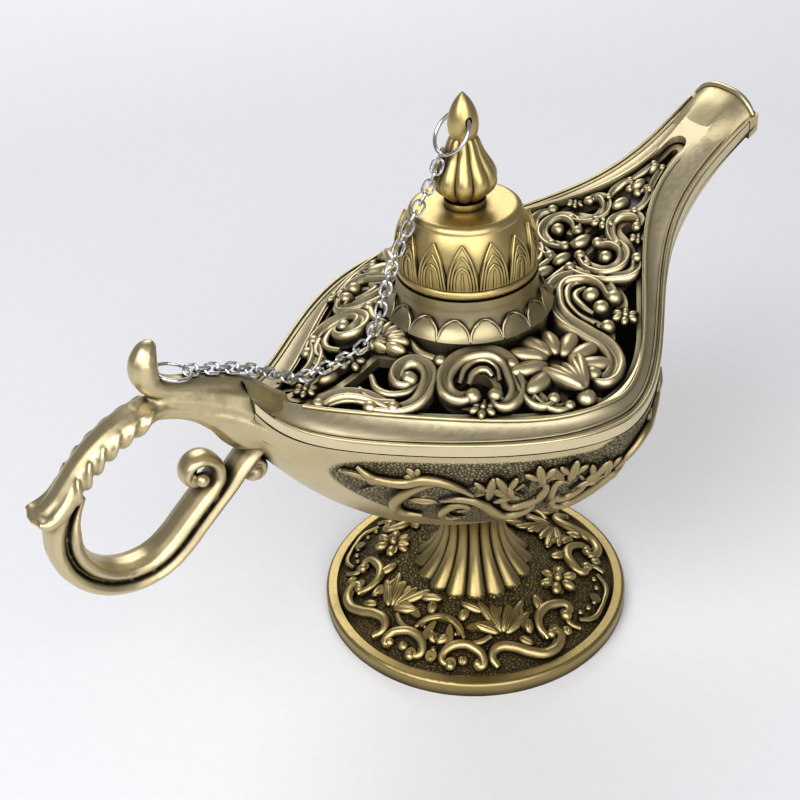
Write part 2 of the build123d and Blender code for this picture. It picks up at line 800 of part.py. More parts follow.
with BuildPart() as handle:
    loft([arm_section(share, arm_start, arm_end, arm_bend) for share in (0, 0.2, 0.45, 0.7, 1)])
    with Locations((arm_end_x, 0, arm_end_z)):
        Sphere(arm_end_half)
    add(horn.part.moved(Location((arm_end_x, 0, arm_end_z), (0, horn_lean, 0))))
    with BuildLine(Plane.XZ) as leaf_path:
        heading = Vector(1, 0).rotate(Axis.Z, leaf_heading)
        outer = JernArc((arm_end_x + leaf_overlap, arm_end_z), heading, leaf_radius, leaf_turn)
        tip = JernArc(outer @ 1, outer % 1, leaf_tip_radius, -leaf_tip_turn)
        Line(tip @ 1, tip @ 1 + (tip % 1) * leaf_tip_length)
    with BuildSketch(across(leaf_path.wire(), 0)):
        Ellipse(handle_width / 2, leaf_thickness / 2)
    sweep(path=leaf_path.wire())
    for step, run in ((0, scroll_run), (ridge_step, outer_ridge_run)):
        with BuildLine(Plane.XZ) as ridge_path:
            turn = CenterArc(scroll_centre, scroll_radius + step, ridge_start, ridge_turn)
            Line(turn @ 1, turn @ 1 + (turn % 1) * run)
        with BuildSketch(across(ridge_path.wire(), 0)):
            Ellipse(handle_width / 2, ridge_thickness / 2)
        sweep(path=ridge_path.wire())
    for x, z, radius in curls:
        with Locations(Location((x, 0, z), (90, 0, 0))):
            Cylinder(radius, handle_width)
        with Locations((x, -handle_width / 2, z), (x, handle_width / 2, z)):
            Sphere(curl_eye_radius)
    grown = stations(tail_x, lip_x)
    loft([hull_section(x, -handle_seat_gap, 0) for x in grown], mode=Mode.SUBTRACT)
    with Locations(horn_ring_plane):
        Torus(horn_ring_radius, ring_wire / 2 + ring_play, mode=Mode.SUBTRACT)
handle.part.label = "handle"
export_step(handle.part, "parts/handle.step")

# Rings: one hangs from the finial, one lies on the arm in front of the horn
with BuildPart() as finial_ring:
    with Locations(finial_ring_plane):
        Torus(finial_ring_radius, ring_wire / 2)
finial_ring.part.label = "finial_ring"
export_step(finial_ring.part, "parts/finial_ring.step")

with BuildPart() as horn_ring:
    with Locations(horn_ring_plane):
        Torus(horn_ring_radius, ring_wire / 2)
horn_ring.part.label = "horn_ring"
export_step(horn_ring.part, "parts/horn_ring.step")

# Chain: from the finial's ring over the lid and the openwork to the horn's ring, each link a node
chain_start = Vector(finial_hole[0], 0, finial_hole[1]) + finial_ring_way * 2 * finial_ring_radius
chain_end = Vector(horn_hole[0], 0, horn_hole[1]) + horn_ring_way * 2 * horn_ring_radius
chain_route = [
    (-(bulb_radius + chain_side), bulb_height),
    (-(lid_disc_radius + chain_side), lid_top - lid_disc_edge),
    (-(lid_radius + chain_hang), collar_top),
    (-(skirt_radius + chain_hang + lid_bead), collar_base + skirt_edge),
]
chain_route += [(x, band_top(x) + lift) for x, lift in chain_deck]
with BuildLine() as chain_line:
    Spline(chain_start, *[(x, 0, z) for x, z in chain_route], chain_end)
chain_edge = chain_line.edges()[0]
first_link = (link_length - ring_wire) / 2 - link_wire - link_slack / 2
chain_run = chain_edge.length - 2 * first_link
link_total = round(chain_run / link_pitch) + 1
with BuildPart() as link:
    with BuildLine() as link_path:
        half_run = (link_length - link_width) / 2
        bend = (link_width - link_wire) / 2
        near = Line((-half_run, -bend), (half_run, -bend))
        right = JernArc(near @ 1, (1, 0), bend, 180)
        far = Line(right @ 1, (-half_run, bend))
        JernArc(far @ 1, (-1, 0), bend, 180)
    with BuildSketch(Plane(origin=near @ 0, z_dir=(1, 0, 0))):
        RegularPolygon(link_wire / 2, link_sides)
    sweep(path=link_path.wire())
for i in range(link_total):
    along = first_link + chain_run * i / (link_total - 1)
    place = chain_edge.position_at(along, position_mode=PositionMode.LENGTH)
    heading = chain_edge.tangent_at(along, position_mode=PositionMode.LENGTH)
    roll = link_roll if i % 2 else -link_roll
    facing = Vector(0, 1, 0).rotate(Axis(place, heading), roll)
    chain_link = link.part.moved(Plane(origin=place, x_dir=heading, z_dir=facing).location)
    chain_link.label = f"chain_link_{i + 1:02d}"
    export_step(chain_link, f"parts/chain_link_{i + 1:02d}.step")

# Screws: one up through the foot and stem into the bowl, one up through the lid into the finial
with BuildPart() as foot_screw:
    with Locations((0, 0, dome_top - foot_wall)):
        Cylinder(screw_head_radius, screw_head_height, align=(Align.CENTER, Align.CENTER, Align.MAX))
        Cylinder(
            screw_diameter / 2,
            keel_height + boss_height - thread_end - dome_top + foot_wall,
            align=(Align.CENTER, Align.CENTER, Align.MIN),
        )
foot_screw.part.label = "foot_screw"
export_step(foot_screw.part, "parts/foot_screw.step")

with BuildPart() as lid_screw:
    with Locations((0, 0, lid_ceiling)):
        Cylinder(lid_screw_head_radius, lid_screw_head_height, align=(Align.CENTER, Align.CENTER, Align.MAX))
        Cylinder(
            lid_screw_diameter / 2,
            lid_wall + lid_screw_reach,
            align=(Align.CENTER, Align.CENTER, Align.MIN),
        )
lid_screw.part.label = "lid_screw"
export_step(lid_screw.part, "parts/lid_screw.step")
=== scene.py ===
from math import cos, exp, pi, radians, sin

import bmesh
import bpy
from mathutils import Matrix, Vector
from mathutils.bvhtree import BVHTree


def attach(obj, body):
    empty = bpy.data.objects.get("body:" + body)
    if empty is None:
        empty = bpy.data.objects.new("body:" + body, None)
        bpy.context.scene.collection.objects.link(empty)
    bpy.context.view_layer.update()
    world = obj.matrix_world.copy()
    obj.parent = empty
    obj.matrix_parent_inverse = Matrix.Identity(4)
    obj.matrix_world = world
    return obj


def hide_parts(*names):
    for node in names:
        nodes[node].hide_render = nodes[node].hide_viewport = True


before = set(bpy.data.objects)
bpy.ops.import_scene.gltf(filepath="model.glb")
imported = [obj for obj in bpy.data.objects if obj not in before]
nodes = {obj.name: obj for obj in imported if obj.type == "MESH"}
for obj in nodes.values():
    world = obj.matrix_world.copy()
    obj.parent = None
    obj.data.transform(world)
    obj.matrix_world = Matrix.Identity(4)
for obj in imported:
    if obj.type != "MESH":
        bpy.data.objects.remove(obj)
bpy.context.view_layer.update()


# Foot: a round dish and a reeded stem, cast in one piece with an antique brass finish. The casting is
# blackened and then rubbed, so that what stands up is bright and the beaten ground between keeps its
# dark patina. A long screw from below holds it to the bowl.
class Socket:
    """An output of a node tree that can be used in sums."""

    def __init__(self, tree, output=None):
        self.tree = tree
        self.output = output

    def fill(self, node, inputs):
        """Fills a node's inputs with plain values, or with links from other nodes."""
        for name, value in inputs.items():
            if isinstance(value, Socket):
                self.tree.links.new(value.output, node.inputs[name])
            else:
                node.inputs[name].default_value = value

    def node(self, kind, inputs, output=0, **settings):
        """Adds a node, sets it up, fills its inputs and returns one of its outputs."""
        made = self.tree.nodes.new(kind)
        for name, setting in settings.items():
            setattr(made, name, setting)
        self.fill(made, inputs)
        return Socket(self.tree, made.outputs[output])

    def sum(self, operation, *values):
        return self.node("ShaderNodeMath", dict(enumerate(values)), operation=operation)

    def __add__(self, other):
        return self.sum("ADD", self, other)

    def __radd__(self, other):
        return self.sum("ADD", other, self)

    def __sub__(self, other):
        return self.sum("SUBTRACT", self, other)

    def __rsub__(self, other):
        return self.sum("SUBTRACT", other, self)

    def __mul__(self, other):
        return self.sum("MULTIPLY", self, other)

    def __rmul__(self, other):
        return self.sum("MULTIPLY", other, self)

    def axis(self, letter):
        """One coordinate of a place, in millimetres."""
        return self.node("ShaderNodeSeparateXYZ", {0: self}, output=letter) * 1000

    def between(self, low, high):
        """0 below low, 1 above high, even between."""
        return self.node("ShaderNodeMapRange", {"Value": self, "From Min": low, "From Max": high})

    def blend(self, first, second):
        """The first colour where this is 0, the second where it is 1."""
        tones = {0: self, 6: (*first, 1), 7: (*second, 1)}
        return self.node("ShaderNodeMix", tones, output=2, data_type="RGBA")


def new_finish(name):
    """Starts a material: returns it, its shader and the place on the piece that patterns are made from."""
    material = bpy.data.materials.new(name)
    material.use_nodes = True
    place = Socket(material.node_tree).node("ShaderNodeTexCoord", {}, output="Object")
    return material, material.node_tree.nodes["Principled BSDF"], place


patina = (0.022, 0.016, 0.008)
patina_rough = 0.56
rubbing_shine = 0.19
cloud_scale = 70.0
cloud_wear = 0.35
brush_scale = 1300.0
brush_height = 0.06
brush_rough = 0.24
dimple = 0.0009
dimple_height = 1.5
dimple_rub = 0.4
ground_dark = 0.93


def antique_brass(name, bright, wear_depth=0.0030, worn=(0.5, 0.97), grain=(1, 1, 1), ground=None):
    """Brass rubbed bright over a dark patina, which stays in hollows and on a beaten ground."""
    material, shader, place = new_finish(name)
    hollow = place.node("ShaderNodeAmbientOcclusion", {"Distance": wear_depth}, output="AO", samples=8)
    cloud = place.node("ShaderNodeTexNoise", {"Vector": place, "Scale": cloud_scale, "Detail": 4.0})
    stretched = place.node("ShaderNodeMapping", {"Vector": place, "Scale": grain})
    brush = {"Vector": stretched, "Scale": brush_scale, "Detail": 2.0}
    brushed = place.node("ShaderNodeTexNoise", brush)
    rubbed = (hollow + (cloud - 0.5) * cloud_wear).between(*worn)
    height = brushed * brush_height
    if ground:
        cells = {"Vector": place, "Scale": 1 / dimple}
        edge = place.node("ShaderNodeTexVoronoi", cells, output="Distance", feature="DISTANCE_TO_EDGE")
        dome = edge.between(0.02, 0.24)
        where = ground(place)
        rubbed = rubbed * (1 - where * (ground_dark - dome * dimple_rub))
        height = height + where * dome * dimple_height
    place.fill(shader, {
        "Base Color": rubbed.blend(patina, bright),
        "Roughness": patina_rough - rubbed * rubbing_shine + (brushed - 0.5) * brush_rough,
        "Metallic": 1.0,
        "Normal": place.node("ShaderNodeBump", {"Height": height, "Strength": 0.6, "Distance": 0.0003}),
    })
    return material


def dress(name, *materials):
    """Gives a CAD node its materials."""
    nodes[name].data.materials.clear()
    for material in materials:
        nodes[name].data.materials.append(material)


foot_gold = (0.34, 0.262, 0.108)
dish_radius = 38.2
dish_run = 21.2
dish_edge = 3.2
dish_rise = 6.8
dish_swell = 4.0
rim_soft = 0.4


def dish_height(radius):
    """Height of the dish's beaten ground in millimetres. The radius is a number or a socket."""
    share = (dish_radius - radius) * (1 / dish_run)
    return dish_edge + dish_rise * share + dish_swell * share * (1 - share)


def foot_ground(place):
    """1 on the beaten ground of the dish, 0 on its rim, stem and raised ornament."""
    x, y, z = [place.axis(letter) for letter in "XYZ"]
    radius = place.sum("SQRT", x * x + y * y)
    raised = (z - dish_height(radius)).between(0.3, 0.8)
    return (1 - raised) * (1 - radius.between(dish_radius - rim_soft, dish_radius))


dress("foot", antique_brass("foot_brass", foot_gold, ground=foot_ground))

# Ornament of the foot: scrolls, leaves and flowers that are cast with the dish and rubbed brighter than
# its ground. It is drawn for a quarter of the dish, beside one of the two fans of leaves, and mirrored
# about each fan. Lengths are millimetres, and angles are degrees from the fan.
relief_gold = (0.46, 0.36, 0.16)
fine_wear = 0.0022
lengthways = Vector((1, 0, 0))
upward = Vector((0, 0, 1))


def strand(shape, points, sizes, profile=None, wide=1.0):
    """Adds to shape a smooth rod through points. Sizes are its radii, the last one to the end."""
    line = bpy.data.curves.new("strand", "CURVE")
    line.dimensions = "3D"
    line.twist_mode = "Z_UP" if profile else "MINIMUM"
    line.resolution_u = 6
    line.use_fill_caps = True
    if profile:
        line.bevel_mode = "OBJECT"
        line.bevel_object = profile
    else:
        line.bevel_depth = 1.0
        line.bevel_resolution = 3
    run = line.splines.new("BEZIER")
    run.bezier_points.add(len(points) - 1)
    for i, (knot, point) in enumerate(zip(run.bezier_points, points)):
        knot.co = point
        knot.handle_left_type = "AUTO"
        knot.handle_right_type = "AUTO"
        knot.radius = sizes[min(i, len(sizes) - 1)]
    holder = bpy.data.objects.new("strand", line)
    bpy.context.scene.collection.objects.link(holder)
    drawn = holder.evaluated_get(bpy.context.evaluated_depsgraph_get())
    mesh = bpy.data.meshes.new_from_object(drawn)
    mesh.transform(Matrix.Diagonal((1, wide, 1, 1)))
    shape.from_mesh(mesh, face_normals=False, vertex_normals=False)
    bpy.data.objects.remove(holder)
    bpy.data.curves.remove(line)
    bpy.data.meshes.remove(mesh)


def swelling(count, ends, extra, start=0.5):
    """Sizes for count points along a strand that is thin at its ends and thick in its middle."""
    return [ends + extra * sin(pi * (i + start) / count) for i in range(count)]


ball = bpy.data.meshes.new("ball")
ball_shape = bmesh.new()
bmesh.ops.create_uvsphere(ball_shape, u_segments=14, v_segments=9, radius=1.0)
ball_shape.to_mesh(ball)
ball_shape.free()


def drop(shape, place, along, normal, length, width, height):
    """Adds to shape a rounded drop: a ball drawn out along a direction on a surface."""
    normal = normal.normalized()
    side = normal.cross(along).normalized()
    along = side.cross(normal)
    turn = Matrix((along * length / 2, side * width / 2, normal * height)).transposed().to_4x4()
    pip = ball.copy()
    pip.transform(Matrix.Translation(place) @ turn)
    shape.from_mesh(pip, face_normals=False, vertex_normals=False)
    bpy.data.meshes.remove(pip)


def boss(shape, place, radius, height, normal=upward):
    """Adds to shape a round boss that stands on a surface."""
    drop(shape, place, lengthways, normal, 2 * radius, 2 * radius, height)


def flower(shape, place, reach, petals):
    """Adds to shape a little open flower that faces up: long petals about a ball."""
    start = upward.orthogonal().normalized()
    for i in range(petals):
        spoke = Matrix.Rotation(2 * pi * i / petals, 3, upward) @ start
        drop(shape, place + spoke * reach * 0.6, spoke, upward, reach * 0.85, reach * 0.55, reach * 0.3)
    drop(shape, place, start, upward, reach * 0.55, reach * 0.55, reach * 0.45)


def add_piece(name, shape, material, body, *stands_for):
    """Makes a smooth shaded piece of a shape drawn in millimetres, fixed to a body."""
    mesh = bpy.data.meshes.new(name)
    bmesh.ops.scale(shape, vec=(0.001, 0.001, 0.001), verts=shape.verts)
    bmesh.ops.recalc_face_normals(shape, faces=shape.faces)
    for face in shape.faces:
        face.smooth = True
    shape.to_mesh(mesh)
    shape.free()
    piece = bpy.data.objects.new(name, mesh)
    bpy.context.scene.collection.objects.link(piece)
    mesh.materials.append(material)
    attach(piece, body)
    if stands_for:
        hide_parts(*stands_for)
    return piece


def on_dish(radius, angle, lift):
    """A point over the dish's beaten ground."""
    turn = radians(angle)
    return Vector((radius * cos(turn), radius * sin(turn), dish_height(radius) + lift))


# Each scroll has the radius and angle of its points, and its thickness.
foot_scrolls = [
    ([(36.3, 9), (35.1, 5), (32.4, 6), (30.5, 13), (31.4, 19), (34, 23), (36.2, 22), (35.4, 20)], 1.2),
    ([(30.5, 13), (29.9, 22), (28.5, 28)], 0.8),
    ([(36.7, 29), (34.0, 27), (31.8, 30), (32.2, 37), (34.7, 44), (36.6, 51), (35.4, 59), (33.1, 61),
      (32.8, 57)], 1.35),
    ([(33.5, 55), (29.2, 55), (26.4, 62), (27.3, 72), (30.3, 76), (31.3, 71)], 1.25),
    ([(31.3, 71), (33.5, 69), (36, 71)], 0.7),
    ([(29, 14), (26, 10), (24.2, 4), (23.8, 0)], 0.75),
    ([(34.3, 74), (36.8, 80), (37.2, 90)], 0.7),
    ([(22, 52), (24.5, 50), (27.5, 45)], 0.8),
]
# Each dot has its radius and angle on the dish, and its size.
foot_dots = [
    (36.3, 9, 1.5), (35.4, 20.5, 1.4), (32.8, 57.5, 1.5), (31.3, 71, 1.7), (33, 0, 1.1), (35.2, 0, 0.9),
    (25.8, 5, 0.7), (27.9, 9, 0.7), (33.4, 78, 0.8), (34.4, 83, 0.8), (35, 88, 0.8),
]
# Each leaf has the radius and angle of its root, and then of its tip.
foot_leaves = [
    (27.9, 34, 17.5, 22), (27.9, 34, 19, 33), (28, 35, 20.5, 46), (28, 36, 21, 58), (28, 33, 24.5, 18),
    (28.5, 36, 25, 56), (31.3, 0, 28.2, 0), (31.3, 0, 28.4, 6), (27, 62, 21.5, 68), (24, 10, 20, 14),
    (33.5, 47, 30.2, 42), (30.4, 48, 26.2, 52), (21, 26, 18.4, 8), (35.6, 64, 33, 66), (36, 14, 33.4, 14),
]
fan_angles = (-145, 35)
dish_slope = 0.32
relief_lift = 0.5
foot_ornament = bmesh.new()
for fan in fan_angles:
    for way in (1, -1):
        for path, thick in foot_scrolls:
            spots = [on_dish(radius, fan + way * angle, relief_lift) for radius, angle in path]
            strand(foot_ornament, spots, swelling(len(path), 0.65 * thick, 0.55 * thick, start=0.4))
        for radius, angle, size in foot_dots:
            boss(foot_ornament, on_dish(radius, fan + way * angle, lift=0.4), radius=size, height=size)
        for radius, angle, tip_radius, tip_angle in foot_leaves:
            root = on_dish(radius, fan + way * angle, relief_lift)
            tip = on_dish(tip_radius, fan + way * tip_angle, relief_lift)
            middle = (root + tip) / 2
            normal = Vector((middle.x, middle.y, 0)).normalized() * dish_slope + upward
            length = (tip - root).length
            drop(foot_ornament, middle, tip - root, normal, length, width=3.0, height=1.1)
            drop(foot_ornament, middle, tip - root, normal, length * 0.9, width=0.9, height=1.5)
    flower(foot_ornament, on_dish(24.3, fan + 90, lift=0.6), reach=5.4, petals=6)
relief_brass = antique_brass("rubbed_relief", relief_gold, fine_wear)
add_piece("foot_ornament", foot_ornament, relief_brass, "base")

# Bowl: a boat shaped casting that rises to the handle at its tail and runs out into the spout, finished
# like the foot and smooth outside. Its inside has a dark patina and is painted near black besides, as
# painted shade for the dim inside under the openwork. A leaf shaped panel of beaten ground lies along
# each side under the rim, and vines and leaves are cast standing out of it.
gold = (0.58, 0.49, 0.285)
vine_gold = (0.38, 0.30, 0.145)
patina_and_shade_black = (0.006, 0.006, 0.006)
patina_and_shade_grey = (0.02, 0.02, 0.021)
rim_height = 80.2
tail_end = -64.0
tail_foot = -46.0
tail_lift = 12.0
spout_bend = 32.0
spout_slope = 0.6
panel_middle = -9.0
panel_half = 50.0
panel_bottom = 49.5
panel_top = 78.8
panel_corner = 24.0


def rim_z(x):
    """Height of the bowl's rim: level amidships, up at the tail and up along the spout."""
    tail = max(0.0, (tail_foot - max(x, tail_end)) / (tail_foot - tail_end))
    bend = max(0.0, min(x, spout_bend))
    straight = max(0.0, x - spout_bend)
    return rim_height + tail_lift * tail**1.4 + spout_slope * (bend**2 / (2 * spout_bend) + straight)


def bowl_ground(place):
    """1 on the panels of beaten ground, 0 on the smooth metal about them."""
    x = place.axis("X")
    z = place.axis("Z")
    from_middle = (x - panel_middle) * (1 / panel_half)
    spout = x.between(0.0, 60.0)
    bottom = panel_bottom + from_middle * from_middle * 30 + spout * 22
    top = panel_top + spout * 28
    return place.sum("SMOOTH_MIN", z - bottom, top - z, panel_corner).between(0.0, 0.6)


# The bowl's inside: a dark patina painted near black, which is painted shade for the dim inside under the
# openwork, with a faint cloud of lighter grey.
inside_patina_and_shade, inside_patina_and_shade_shader, inside_patina_and_shade_place = new_finish("inside_patina_and_painted_shade")
inside_patina_and_shade_cloud = inside_patina_and_shade_place.node("ShaderNodeTexNoise", {"Vector": inside_patina_and_shade_place, "Scale": 90.0})
inside_patina_and_shade_place.fill(inside_patina_and_shade_shader, {"Base Color": inside_patina_and_shade_cloud.blend(patina_and_shade_black, patina_and_shade_grey), "Roughness": 0.22})
dress("bowl", antique_brass("bowl_brass", gold, ground=bowl_ground), inside_patina_and_shade)
# Faces that look into the bowl get the near-black painted shade, the others the brass.
for face in nodes["bowl"].data.polygons:
    x, y, z = face.center * 1000
    outward = Vector((0, y, z - rim_z(x) - 2))
    face.material_index = 1 if face.normal.dot(outward) < 0 else 0


def surface(name):
    """The surface of a CAD node, for laying ornament on it."""
    return BVHTree.FromObject(nodes[name], bpy.context.evaluated_depsgraph_get())


bowl_surface = surface("bowl")


def on_bowl(x, depth, side):
    """A point on the bowl's side at a depth under the rim, and the normal there."""
    origin = Vector((x, side * 90, rim_z(x) - depth)) / 1000
    spot, normal, _, _ = bowl_surface.ray_cast(origin, Vector((0, -side, 0)))
    return spot * 1000, normal


# Each vine has the run of its points from the panel's middle and their depth, and its thickness.
vines = [
    ([(40, 6), (34, 7), (29, 8), (25, 6.5), (20, 8.5), (16, 12)], 1.0),
    ([(23, 7.5), (26, 9), (28.5, 12.5), (29, 17), (27, 20.5), (23, 22)], 1.1),
    ([(14, 23.5), (18.5, 22.5), (19.8, 18.5), (17, 16.6), (15, 18.8), (16.5, 20)], 0.85),
    ([(21, 15), (17, 13.5), (14, 15), (11, 18.5), (7, 22), (3, 20.5), (2.2, 15)], 1.1),
    ([(6, 9), (9, 14), (7, 18.5), (3.5, 18), (1, 14), (2, 10), (4.5, 11.5)], 0.95),
    ([(33, 7.2), (35.5, 5.6), (37, 3.6)], 0.7),
]
# Each leaf has its run, its depth, the angle it leans at and its length.
vine_leaves = [
    (13, 10, 100, 7), (10.5, 9.5, 60, 7), (14.5, 12, 150, 6), (9.5, 12.5, 20, 6), (3.5, 6.5, 80, 6),
    (1, 7.5, 120, 5), (24, 15.5, 170, 6), (33, 8.5, 60, 4), (27, 5.5, 40, 4),
]
lobe_bend = 50
vine_lift = 0.1
frieze = bmesh.new()
for side in (-1, 1):
    for way in (-1, 1):
        for path, thick in vines:
            landed = [on_bowl(panel_middle + way * run, depth, side) for run, depth in path]
            spots = [spot + normal * vine_lift for spot, normal in landed]
            strand(frieze, spots, swelling(len(path), 0.3 * thick, 1.1 * thick))
        for run, depth, lean, length in vine_leaves:
            spot, normal = on_bowl(panel_middle + way * run, depth, side)
            heading = Vector((way * cos(radians(lean)), 0, sin(radians(lean))))
            drop(frieze, spot, heading, normal, length * 1.3, width=2.4, height=0.8)
            drop(frieze, spot, heading, normal, length * 1.1, width=0.8, height=1.0)
            for bend in (-lobe_bend, lobe_bend):
                slant = Matrix.Rotation(radians(bend), 3, normal) @ heading
                lobe_spot = spot - heading * 0.25 * length + slant * 0.4 * length
                drop(frieze, lobe_spot, slant, normal, length * 0.8, width=1.9, height=0.7)
add_piece("bowl_vines", frieze, antique_brass("vine_brass", vine_gold, fine_wear), "base")

# Handle: one casting that grows out of the bowl's tail, finished like the bowl. An arm carries an
# upturned horn and a feathered strap with a flared end, and a scroll of two ridges curls back to the
# bowl. The bars it is drawn from melt into one skin.
handle = bmesh.new()


def bar(line, wide):
    """Adds to the handle a round bar along (x, z, size) points in the lamp's middle plane."""
    strand(handle, [(x, 0, z) for x, z, _ in line], [size for _, _, size in line], wide=wide)


arm = [
    (-54, 81.6, 6.0), (-59, 83.6, 6.5), (-64, 86, 6.6), (-70, 91.6, 4.7), (-75, 95.0, 3.7),
    (-80, 97.2, 3.2), (-86, 98.4, 3.0), (-90, 97.4, 2.6),
]
horn = [
    (-54, 86.5, 3.0), (-58, 89.8, 3.0), (-62, 93.4, 3.0), (-66, 96.4, 3.1), (-71, 98.6, 2.9),
    (-76, 100.5, 2.8), (-80.5, 102.2, 2.7), (-83.8, 104.3, 2.9), (-85.1, 107.2, 3.3),
    (-84.9, 110.2, 3.2), (-83.7, 112.8, 2.5), (-82.6, 114.3, 1.5), (-82.2, 115.0, 0.5),
]
arm_to_horn = [
    (-55, 84, 4.8), (-60, 88, 5.8), (-64, 91.4, 6.3), (-70, 95.3, 4.6), (-75, 97.8, 3.7),
    (-80, 99.6, 3.0), (-84, 100.4, 2.2),
]
bar(arm, wide=1.12)
bar(horn, wide=1.2)
bar(arm_to_horn, wide=1.16)

strap_centre = Vector((-81.1, 0, 65.7))
strap_bend = 33.0
barbs = 6
barb_step = 7.4


def on_strap(turn, rise, across):
    """A place about the strap: an angle along it, a height over its middle line, a distance across."""
    reach = strap_bend + rise
    return strap_centre + Vector((reach * cos(radians(turn)), across, reach * sin(radians(turn))))


strap = [on_strap(turn, 0, 0) for turn in (84, 93, 103, 113, 122, 132, 141)]
strap += [Vector((-110.0, 0, 83.4)), Vector((-112.6, 0, 82.2)), Vector((-114.4, 0, 82.3))]
strand(handle, strap, [1.0, 2.3, 2.9, 2.9, 2.8, 2.7, 2.7, 2.6, 2.4, 1.6], wide=1.6)
flare_place = Vector((-112.9, 0, 82.4))
flare_along = Vector((-1, 0, 0.05))
flare_normal = Vector((0.05, 0, 1))
drop(handle, flare_place, flare_along, flare_normal, length=7.6, width=10.4, height=1.2)
for side in (-1, 1):
    flare = [
        on_strap(124, 0, 1.4 * side),
        on_strap(133, 0, 2.2 * side),
        on_strap(141, 0, 3.0 * side),
        Vector((-110.4, 3.5 * side, 83.2)),
        Vector((-113.2, 3.9 * side, 82.2)),
        Vector((-115.6, 3.6 * side, 82.8)),
    ]
    strand(handle, flare, [1.2, 1.7, 1.8, 1.7, 1.5, 0.8])
    for i in range(barbs):
        turn = 97 + barb_step * i
        barb = [
            on_strap(turn, 1.7, 3.7 * side),
            on_strap(turn + 4, 0.2, 4.5 * side),
            on_strap(turn + 8, -1.7, 3.8 * side),
            on_strap(turn + 11, -3.0, 2.0 * side),
        ]
        strand(handle, barb, [0.35, 0.8, 0.85, 0.45])

scroll_x, scroll_z = -94.8, 72.8
volute_x, volute_z = -77.0, 76.9
ridge_size = 2.1
ridge_wide = 2.15


def ridge(reach, run):
    """Places along one ridge of the scroll: round its bottom, then straight up towards the bowl."""
    turns = [radians(angle) for angle in range(131, 312, 20)]
    path = [(scroll_x + reach * cos(turn), scroll_z + reach * sin(turn)) for turn in turns]
    end_x, end_z = path[-1]
    return path + [(end_x + 0.755 * run * k / 3, end_z + 0.656 * run * k / 3) for k in (1, 2, 3)]


inner_ridge = ridge(13.6, 15.0)
inner_sizes = [0.6, 1.4] + [ridge_size] * (len(inner_ridge) - 2)
for k in range(7):
    turn = radians(-20 + 52 * k)
    reach = 5.0 - 0.55 * k
    inner_ridge.append((volute_x + reach * cos(turn), volute_z + reach * sin(turn)))
    inner_sizes.append(1.9 - 0.15 * k)
bar([(x, z, size) for (x, z), size in zip(inner_ridge, inner_sizes)], wide=ridge_wide)
outer_ridge = ridge(17.6, 18.0) + [(-65.5, 75.4), (-61.5, 78.5), (-58, 80)]
bar([(x, z, ridge_size) for x, z in outer_ridge], wide=ridge_wide)
small_curl = [
    (-66.5, 75.0, 1.5), (-63.2, 75.6, 1.4), (-61.2, 74.0, 1.3), (-61.4, 71.6, 1.2), (-63.4, 70.4, 1.1),
    (-65.2, 71.4, 1.0), (-64.8, 73.0, 0.8),
]
bar(small_curl, wide=2.9)
for side in (-1, 1):
    sideways = Vector((0, side, 0))
    boss(handle, Vector((-77.1, 3.0 * side, 76.8)), radius=1.8, height=2.0, normal=sideways)
    boss(handle, Vector((-63.5, 2.8 * side, 72.6)), radius=1.6, height=1.6, normal=sideways)
arm_to_bowl = [(-72, 93.2, 2.6), (-68, 91.2, 3.35), (-64, 88.6, 4.25), (-60, 85.6, 5.2), (-57, 83.2, 5.9)]
bar(arm_to_bowl, wide=1.9)

brass = antique_brass("antique_brass", gold)
sculpted_handle = add_piece("sculpted_handle", handle, brass, "base", "handle")
one_skin = sculpted_handle.modifiers.new("one_skin", "REMESH")
one_skin.mode = "VOXEL"
one_skin.voxel_size = 0.0004
one_skin.use_smooth_shade = True
rounded_off = sculpted_handle.modifiers.new("rounded_off", "SMOOTH")
rounded_off.factor = 0.5
rounded_off.iterations = 4

# Cover: a broad band round a teardrop opening, cast apart from the bowl, brushed lengthways and set on
# the bowl's rim. Thin beads run along both of its edges.
cover_gold = (0.70, 0.60, 0.385)
brush_grain = (0.15, 1, 1)
widest = 8.0
bowl_half = 51.0
tail_half = 7.5
mouth_half = 11.0
spout_end = 84.0
opening_half = 45.0
slot_half = 3.0
opening_tail = -54.0
opening_spout = 66.0
dress("cover_frame", antique_brass("brushed_brass", cover_gold, grain=brush_grain))
cover_surface = surface("cover_frame")


def rim_half(x):
    """Half width of the bowl's rim."""
    if x < widest:
        share = max(0.0, x - tail_end) / (widest - tail_end)
        return tail_half + (bowl_half - tail_half) * sin(pi / 2 * share) ** 1.25
    share = min(1.0, (x - widest) / (spout_end - widest))
    return mouth_half + (bowl_half - mouth_half) * cos(pi / 2 * share) ** 3.8


def opening_at(x):
    """Half width of the opening in the cover."""
    if x < widest:
        share = max(0.0, x - opening_tail) / (widest - opening_tail)
        return slot_half + (opening_half - slot_half) * sin(pi / 2 * share) ** 1.25
    share = min(1.0, (x - widest) / (opening_spout - widest))
    return slot_half + (opening_half - slot_half) * cos(pi / 2 * share) ** 2.3


def on_cover(x, y):
    """A point on top of the cover."""
    spot, _, _, _ = cover_surface.ray_cast(Vector((x, y, 200)) / 1000, Vector((0, 0, -1)))
    return spot * 1000


def stations(first, last):
    """Even places along the lamp."""
    return [first + (last - first) * i / 60 for i in range(61)]


beads = bmesh.new()
for side in (-1, 1):
    for inset, thick in ((0.6, 0.5), (2.4, 0.4)):
        strand(beads, [on_cover(x, side * (rim_half(x) - inset)) for x in stations(-60, 81)], [thick])
    strand(beads, [on_cover(x, side * (opening_at(x) + 1.0)) for x in stations(-51, 64)], [0.55])
add_piece("cover_beads", beads, brass, "base")

